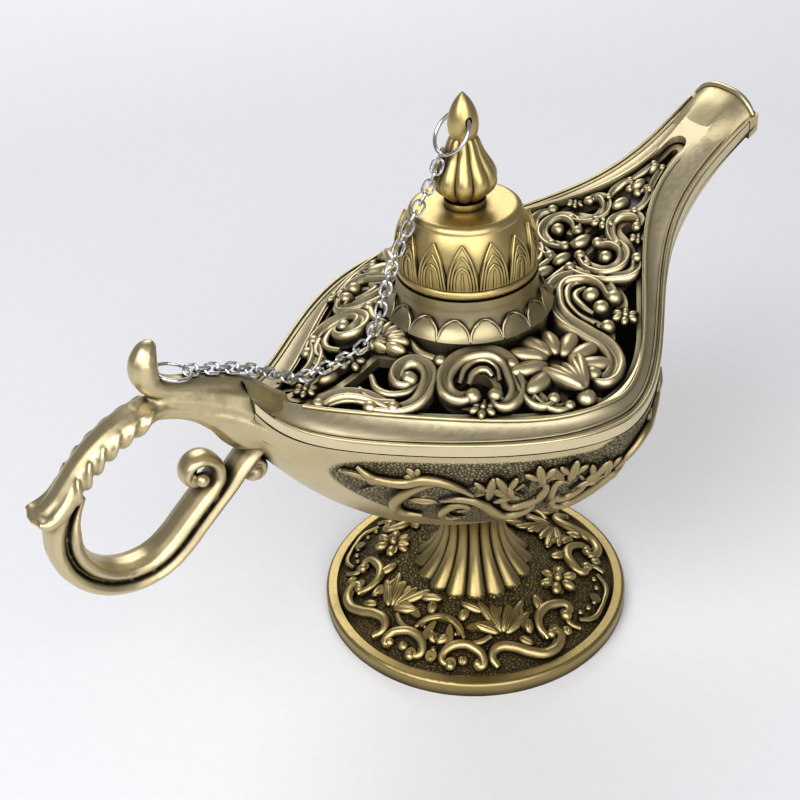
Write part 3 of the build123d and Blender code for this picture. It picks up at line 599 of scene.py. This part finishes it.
# Spout lip: the end of the cover, where it closes over the spout. It is cast with the cover, so it runs
# smoothly out of the band and ends in a rolled edge.
lip_start = 70.6
lip_end = 83.6
lip_edge = 83.1
lip_run = 9.0
lip_rise = 7.0
lip_droop = 4.3
cover_end = 80.0


def lip_top(x, across):
    """Height of the lip, which droops towards its sides. Across goes from -1 to 1."""
    return rim_z(x) + lip_rise - lip_droop * abs(across) ** 3


lip = bmesh.new()
bmesh.ops.create_grid(lip, x_segments=24, y_segments=24, size=1.0)
for vert in lip.verts:
    across = vert.co.y
    x = (lip_start + lip_end) / 2 + (lip_end - lip_start) / 2 * vert.co.x
    y = (rim_half(x) - 1.0) * across
    band = on_cover(min(x, cover_end), y).z - 0.2
    share = min(1.0, (x - lip_start) / lip_run)
    ease = share * share * (3 - 2 * share)
    vert.co = (x, y, band + ease * (lip_top(x, across) - band))
bmesh.ops.solidify(lip, geom=lip.verts[:] + lip.edges[:] + lip.faces[:], thickness=0.5)
strand(lip, [(lip_edge, y, lip_top(lip_edge, y / 10)) for y in range(-10, 11, 2)], [0.6, 0.8])
add_piece("spout_lip", lip, brass, "base")

# Openwork: grooved scrolls, shells and flowers cast in one pierced dome over the bowl's inside, which is
# painted near black as shade. Its edge is held under the cover's band. The dark patina stays deep between
# the scrolls.
openwork_gold = (0.66, 0.56, 0.34)
dome_seat = 3.5
dome_edge = 0.4
dome_rise = 10.0
dome_middle = -8.0
dome_reach = 30.0
under_band = 2.6
clear_of_band = 4.4


def over(x, y, lift):
    """A point over the openwork's dome, kept clear of the cover's band."""
    half = opening_at(x) + under_band
    y = max(clear_of_band - half, min(half - clear_of_band, y))
    crown = dome_edge + dome_rise * exp(-(((x - dome_middle) / dome_reach) ** 2))
    return Vector((x, y, rim_z(x) + dome_seat + crown * (1 - min(1.0, abs(y) / half) ** 2) + lift))


groove_outline = [
    (-1, -1.1), (-1.1, -0.1), (-0.85, 0.5), (-0.5, 0.6), (-0.22, 0.1), (0.22, 0.1), (0.5, 0.6), (0.85, 0.5),
    (1.1, -0.1), (1, -1.1),
]
groove = bpy.data.curves.new("groove", "CURVE")
groove.dimensions = "2D"
groove_run = groove.splines.new("POLY")
groove_run.points.add(len(groove_outline) - 1)
groove_run.use_cyclic_u = True
for point, (x, y) in zip(groove_run.points, groove_outline):
    point.co = (x, y, 0, 1)
grooved = bpy.data.objects.new("groove", groove)
bpy.context.scene.collection.objects.link(grooved)

# Each grooved scroll and each plain rib has the places of its points and its thickness.
scrolls = [
    ([(-18.5, -27.5), (-21.5, -25.5), (-22, -21.5), (-17.5, -18), (-11, -18.6), (-6.8, -22.5),
      (-7.5, -28.5), (-11, -33.5), (-14.5, -33), (-14.3, -30.6)], 1.7),
    ([(29, -21), (30.5, -14), (28, -8), (24, -6), (19, -10), (15.5, -18), (16.5, -26), (17.5, -33),
      (14.5, -38.6), (9.8, -39.6), (9, -37.2)], 1.9),
    ([(-38, -16.5), (-31, -20), (-25.5, -19), (-22.5, -15), (-24, -11), (-28, -11), (-29, -14),
      (-27, -15)], 1.6),
    ([(-47, -8), (-43, -6), (-38, -10), (-34, -18)], 1.4),
    ([(33, -3), (32, -9), (35, -14), (39, -13), (40, -8), (38, -4)], 1.3),
    ([(29, -4), (30, -10), (33, -16), (37, -19), (40, -17)], 1.3),
    ([(40, -9), (42, -4), (45, -2), (48, -5), (48, -9), (46, -9.5)], 1.1),
    ([(49, -5), (52, -6), (55, -4.5), (55, -2), (53, -1.4)], 0.9),
    ([(55, -6), (58, -3), (60, -3), (61, -5)], 0.8),
    ([(-6, -26), (-8, -34), (-7, -38), (-3.6, -38.4)], 1.3),
    ([(-6.5, -34), (-4.5, -41), (-1.5, -41.6)], 1.1),
]
ribs = [
    ([(-19, -23), (-15, -20.4), (-11, -20.8), (-9.4, -24), (-11, -28)], 0.75),
    ([(-17.5, -24.5), (-14.5, -22.8), (-12, -23.6), (-11.6, -26)], 0.75),
    ([(29, -12), (26, -9), (22, -11.5), (19.8, -18), (20.6, -24)], 0.8),
    ([(27, -12.5), (24, -12.5), (22.4, -16.5), (22.6, -21)], 0.8),
    ([(-37, -8), (-37, -12), (-33, -17)], 0.8),
    ([(-40, -5), (-39, -11), (-34, -16)], 0.8),
    ([(-33, -7), (-34, -12), (-30, -16.5), (-26, -17)], 0.8),
    ([(-46, -9.5), (-41, -9), (-37, -14)], 0.7),
    ([(-20, -5), (-21, -10), (-19.5, -14)], 0.9),
    ([(22, -3), (26, -3), (30, -3)], 0.8),
]
# Each ball has its place and its radius.
balls = [
    (-18.5, -28, 1.9), (-14.2, -30.4, 1.8), (26, -16, 2.3), (25, -21, 2.1), (22, -27, 1.9),
    (-27.2, -14.4, 2.0), (-19, -15.5, 1.7), (9.2, -37, 1.6), (3, -42, 2.6), (38, -4, 1.5),
    (46.2, -9.2, 1.4), (53, -1.6, 1.1), (20, -7, 1.8), (32, -7, 1.4), (36, -9.5, 1.9),
]
side_flowers = [(-18.4, -31.4, 3.4), (27, -27.5, 3.4), (44, -13.5, 2.4)]
middle_flowers = [(-34, 3.4, 5), (-47, 3.0, 6), (43, 3.4, 6)]
middle_drops = [(24, 7), (30, 6.5), (36.5, 7), (49, 6), (55, 5), (60, 4), (-40.5, 6), (-23, 5)]
shell_x, shell_y = 4.0, -31.0
shell_reach = 7.8
shell_lobes = 8
shell_flutes = 5
fan_leaves = 7
openwork = bmesh.new()
for side in (1, -1):
    for path, thick in scrolls:
        spots = [over(x, y * side, lift=0.9) for x, y in path]
        sizes = swelling(len(path), 0.85 * thick, 0.5 * thick)
        strand(openwork, spots, sizes, profile=grooved)
        for spot, size in ((spots[0], sizes[0]), (spots[-1], sizes[-1])):
            boss(openwork, spot, radius=1.25 * size, height=1.2 * size)
    for path, thick in ribs:
        sizes = [0.8 * thick, 1.3 * thick, 1.3 * thick, 0.8 * thick]
        strand(openwork, [over(x, y * side, lift=0.6) for x, y in path], sizes)
    for x, y, radius in balls:
        boss(openwork, over(x, y * side, lift=0.8), radius, height=radius)
    for x, y, reach in side_flowers:
        flower(openwork, over(x, y * side, lift=1.0), reach, petals=6)
    for k in range(shell_lobes):
        angle = radians(-28 + 225 * k / (shell_lobes - 1))
        way = Vector((cos(angle), side * sin(angle), 0))
        spot = over(shell_x + way.x * shell_reach, shell_y * side + way.y * shell_reach, lift=0.6)
        drop(openwork, spot, way, upward, length=10.4, width=4.9, height=2.3)
    for k in range(shell_flutes):
        lean = (k - shell_flutes // 2) * 2.5
        tip = over(4.6 + lean * 1.2, (-31.5 + 0.35 * abs(lean)) * side, lift=1.8)
        root = over(3 + lean * 0.15, -40.5 * side, lift=1.8)
        length = (tip - root).length + 2
        drop(openwork, (tip + root) / 2, tip - root, upward, length, width=3.4, height=2.4)
for k in range(fan_leaves):
    angle = radians(-66 + 22 * k)
    way = Vector((cos(angle), sin(angle), 0))
    leaf = over(-27 + way.x * 5.5, way.y * 5.5, lift=1.0)
    midrib = over(-28 + way.x * 1.5, way.y * 1.5, lift=1.6)
    drop(openwork, leaf, way, upward, length=6.5, width=3.0, height=2.0)
    drop(openwork, midrib, way, upward, length=6, width=1.8, height=1.8)
for x, length in middle_drops:
    drop(openwork, over(x, 0, lift=0.6), lengthways, upward, length, width=length * 0.55, height=2.0)
for x, reach, petals in middle_flowers:
    flower(openwork, over(x, 0, lift=1.0), reach, petals)
bpy.data.objects.remove(grooved)
openwork_brass = antique_brass("openwork_brass", openwork_gold, wear_depth=0.0040, worn=(0.5, 0.98))
dress("openwork", openwork_brass)
add_piece("openwork_scrolls", openwork, openwork_brass, "base")

# Collar: a neck that flares to a skirt in the middle of the cover, cast, turned and left darker than the
# band. The lid sits on it. Round petals with raised edges stand about the skirt.
collar_gold = (0.35, 0.295, 0.172)
collar_petals = 16
collar_petal_half = 11.0
collar_petal_foot = 95.1
collar_petal_rise = 4.2
collar_brass = antique_brass("collar_brass", collar_gold)
dress("collar", collar_brass)
collar_surface = surface("collar")


def about(shell, angle, height, lift=0.0):
    """A point on a turned piece, at an angle about the lamp's middle and a height."""
    outward = Vector((cos(radians(angle)), sin(radians(angle)), 0))
    origin = outward * 0.05 + upward * (height / 1000)
    spot, _, _, _ = shell.ray_cast(origin, -outward)
    return spot * 1000 + outward * lift


petal_edges = bmesh.new()
for i in range(collar_petals):
    middle = 360 / collar_petals * i
    edge = []
    for turn in range(0, 181, 30):
        angle = middle - collar_petal_half * cos(radians(turn))
        height = collar_petal_foot + collar_petal_rise * sin(radians(turn))
        edge.append(about(collar_surface, angle, height))
    strand(petal_edges, edge, [0.38])
add_piece("collar_petal_edges", petal_edges, collar_brass, "base")

# Lid: a hollow drum with a bead and a round shoulder, turned, finished in a warmer tone than the bowl and
# held to its fluted finial by a screw. Lotus petals with nested ribs stand about it, and it drops into
# the collar on a spigot.
lid_gold = (0.53, 0.41, 0.17)
lid_petals = 14
nested_ribs = 3
petal_foot = 106.9
petal_shoulder = 109.5
rib_lift = 0.05
lid_brass = antique_brass("lid_brass", lid_gold, fine_wear)
dress("lid", lid_brass)
dress("finial", lid_brass)
lid_surface = surface("lid")
lid_ribs = bmesh.new()
for i in range(lid_petals):
    middle = 360 / lid_petals * i
    midrib = [about(lid_surface, middle, height, rib_lift) for height in (107, 109, 111.5)]
    strand(lid_ribs, midrib, [0.35, 0.35, 0.2])
    for k in range(nested_ribs):
        half = 11.6 - 2.5 * k
        tip = 117.6 - 2.3 * k
        for way in (-1, 1):
            edge = [
                (way * half, petal_foot),
                (way * half * 0.92, petal_shoulder),
                (way * half * 0.62, (petal_shoulder + tip) / 2 + 0.6),
                (0, tip),
            ]
            spots = [about(lid_surface, middle + angle, height, rib_lift) for angle, height in edge]
            strand(lid_ribs, spots, [0.3, 0.34, 0.32, 0.25])
add_piece("lid_petal_ribs", lid_ribs, lid_brass, "lid")

# Chain, rings and screws: bright steel wire bent to oval links and to two rings. The links hang in one
# another from the finial's ring to the horn's ring, so the lid can't get lost. The screws under the foot
# and inside the lid are steel too.
steel_shade = (0.50, 0.50, 0.51)
steel_shine = (0.72, 0.72, 0.73)
steel, steel_shader, steel_place = new_finish("chain_steel")
steel_cloud = steel_place.node("ShaderNodeTexNoise", {"Vector": steel_place, "Scale": 700.0, "Detail": 3.0})
steel_place.fill(steel_shader, {
    "Base Color": steel_cloud.blend(steel_shade, steel_shine),
    "Roughness": 0.12 + steel_cloud * 0.2,
    "Metallic": 1.0,
})
for name in nodes:
    if name.startswith("chain_link") or name.endswith("_ring") or name.endswith("_screw"):
        dress(name, steel)

# Floor: a plain sheet of pale paper that the lamp stands on. Far from the lamp it glows for the camera
# alone, so that it runs into the pale room without a dark edge.
paper_shade = (0.76, 0.76, 0.79)
paper_white = (0.80, 0.80, 0.83)
paper_glow = (0.62, 0.63, 0.65)
paper_half = 3.0
glow_from, glow_to = 0.35, 1.6
floor_shape = bmesh.new()
bmesh.ops.create_grid(floor_shape, x_segments=1, y_segments=1, size=paper_half)
floor_mesh = bpy.data.meshes.new("floor")
floor_shape.to_mesh(floor_mesh)
floor_shape.free()
floor = bpy.data.objects.new("floor", floor_mesh)
bpy.context.scene.collection.objects.link(floor)
paper, paper_shader, paper_place = new_finish("pale_paper")
paper_fibre = paper_place.node("ShaderNodeTexNoise", {"Vector": paper_place, "Scale": 400.0, "Detail": 3.0})
paper_reach = paper_place.node("ShaderNodeVectorMath", {0: paper_place}, output="Value", operation="LENGTH")
paper_seen = paper_place.node("ShaderNodeLightPath", {}, output="Is Camera Ray")
far_off = paper_seen * paper_reach.between(glow_from, glow_to)
paper_place.fill(paper_shader, {
    "Base Color": paper_fibre.blend(paper_shade, paper_white),
    "Roughness": 0.7,
    "Emission Color": far_off.blend((0, 0, 0), paper_glow),
    "Emission Strength": 1.0,
})
floor_mesh.materials.append(paper)

# Light: soft studio light in a pale room. One large window stands on the left, a larger one in front and
# a weaker one behind, and the room itself gives a low, even light but looks bright to the camera.
room_light = 0.25
room_seen = 0.65
world = bpy.data.worlds.new("room")
bpy.context.scene.world = world
world.use_nodes = True
room = Socket(world.node_tree)
seen = room.node("ShaderNodeLightPath", {}, output="Is Camera Ray")
room.fill(world.node_tree.nodes["Background"], {
    "Color": (0.97, 0.98, 1.0, 1),
    "Strength": room_light + seen * room_seen,
})


def window(name, place, target, size, power):
    """A square soft light that faces target."""
    lamp = bpy.data.lights.new(name, "AREA")
    lamp.shape = "SQUARE"
    lamp.size = size
    lamp.energy = power
    holder = bpy.data.objects.new(name, lamp)
    holder.location = place
    holder.rotation_euler = (Vector(target) - Vector(place)).to_track_quat("-Z", "Y").to_euler()
    bpy.context.scene.collection.objects.link(holder)


window("window_left", (-0.75, -0.25, 0.75), (0, 0, 0.07), size=0.6, power=7.0)
window("window_back", (0.35, 0.8, 0.8), (0, 0, 0.07), size=0.7, power=5.0)
window("window_front", (-0.3, -0.9, 0.62), (0, 0, 0.08), size=0.9, power=8.5)

# Camera: the photograph's view, from the near side and above the handle, with a slight roll. Its place,
# direction and lens were fitted to the lamp's outline in the photograph.
eye = Vector((-0.1704, -0.2433, 0.2710))
forward = Vector((0.430, 0.701, -0.569)).normalized()
roll = radians(-3.43)
level_right = forward.cross(upward).normalized()
level_up = level_right.cross(forward)
camera_right = level_right * cos(roll) + level_up * sin(roll)
camera_up = level_up * cos(roll) - level_right * sin(roll)
camera_data = bpy.data.cameras.new("camera")
camera_data.sensor_width = 36.0
camera_data.lens = 63.0
camera_data.clip_start = 0.01
camera = bpy.data.objects.new("camera", camera_data)
camera_turn = Matrix((camera_right, camera_up, -forward)).transposed().to_4x4()
camera.matrix_world = Matrix.Translation(eye) @ camera_turn
bpy.context.scene.collection.objects.link(camera)
bpy.context.scene.camera = camera

bpy.context.scene.view_settings.view_transform = "Standard"
